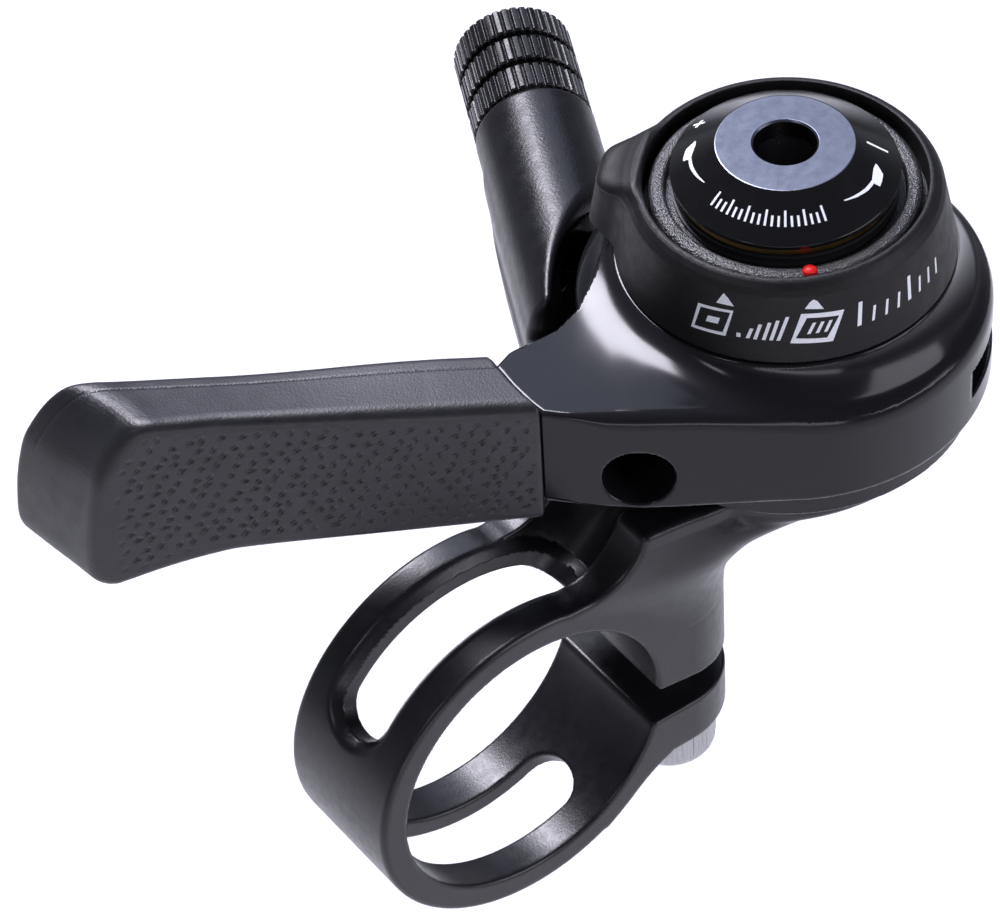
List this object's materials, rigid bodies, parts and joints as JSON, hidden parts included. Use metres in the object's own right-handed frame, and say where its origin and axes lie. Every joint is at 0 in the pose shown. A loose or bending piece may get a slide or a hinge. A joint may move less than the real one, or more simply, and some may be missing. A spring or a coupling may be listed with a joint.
{
  "type": "thumb shifter",
  "caption": "Handlebar thumb shifter: a long-armed lever on a split clamp, with a mode ring, a tension dial and a knurled barrel adjuster for the cable.",
  "frame": {"origin": "centre of the handlebar clamp's bore", "axes": "+Y along the handlebar, +Z parallel to the lever's pivot and towards the dial, +X from the bore towards the clamp's slit and the pivot"},
  "size_m": [0.066, 0.0515, 0.0531],
  "materials": {
    "satin_black": "satin black coating on cast aluminium",
    "bolt_steel": "plated steel",
    "bright_steel": "ground steel",
    "boss_black": "satin black coating",
    "screw_steel": "plated steel",
    "nylon": "natural plastic",
    "lever_black": "polished black",
    "grip_rubber": "matte moulded rubber",
    "bronze": "sintered bronze",
    "carrier_plastic": "moulded plastic",
    "plate_steel": "stamped steel",
    "spring_steel": "spring steel",
    "cam_plastic": "moulded plastic",
    "ring_black": "fine matte texture with printed marks",
    "cover_black": "coarse sparkly texture",
    "marker_red": "red",
    "brass_bright": "brass",
    "dial_black": "gloss black with a machined top",
    "sleeve_plastic": "moulded plastic",
    "ring_rubber": "rubber",
    "barrel_black": "satin black anodised, knurled"
  },
  "bodies": {
    "base": {"clamp_bracket": "satin_black", "clamp_bolt": "bolt_steel", "bolt_washer": "bolt_steel", "locating_dowels": "bright_steel", "cable_stop_body": "boss_black", "pivot_post": "bright_steel", "mounting_screw": "screw_steel", "thrust_washer": "nylon", "stop_pin": "bright_steel", "index_plate": "plate_steel", "pressure_spring": "spring_steel", "cover_ring": "cover_black", "marker_dot": "marker_red", "disc_springs": "spring_steel", "brass_washer": "brass_bright"},
    "lever_arm": {"lever": "lever_black", "lever_grip": "grip_rubber", "pivot_bush": "bronze", "ball_carrier": "carrier_plastic", "detent_balls": "bright_steel"},
    "mode_selector": {"mode_ring": "ring_black", "mode_cam": "cam_plastic"},
    "lock": {"lock_plate": "plate_steel"},
    "dial": {"tension_dial": "dial_black"},
    "sleeve": {"click_sleeve": "sleeve_plastic", "friction_ring": "ring_rubber"},
    "barrel": {"barrel_adjuster": "barrel_black"}
  },
  "joints": [
    {"name": "lever_swing", "type": "hinge", "parent": "base", "child": "lever_arm", "pos_m": [0.0273, 0, 0.0192], "axis": [0, 0, 1], "range_deg": [0, 150]},
    {"name": "mode_ring_turn", "type": "hinge", "parent": "base", "child": "mode_selector", "pos_m": [0.0273, 0, 0.0302], "axis": [0, 0, 1], "range_deg": [0, 36]},
    {"name": "lock_plate_lift", "type": "slide", "parent": "base", "child": "lock", "axis": [0, 0, 1], "range_m": [0, 0.0006], "deforming": ["pressure_spring"]},
    {"name": "tension_dial_turn", "type": "hinge", "parent": "base", "child": "dial", "pos_m": [0.0273, 0, 0.0369], "axis": [0, 0, 1], "range_deg": [-120, 120]},
    {"name": "barrel_travel", "type": "slide", "parent": "base", "child": "sleeve", "axis": [0.4384, 0.8988, 0], "range_m": [0, 0.004]},
    {"name": "barrel_turn", "type": "hinge", "parent": "sleeve", "child": "barrel", "pos_m": [0.0256, 0.02753, 0.02268], "axis": [-0.4384, -0.8988, 0], "range_deg": [0, 1440]}
  ],
  "couplings": [
    {"joint": "mode_ring_turn", "follows": "lock_plate_lift", "rad_per_m": 1047.2},
    {"joint": "barrel_turn", "follows": "barrel_travel", "rad_per_m": 6283.2}
  ]
}
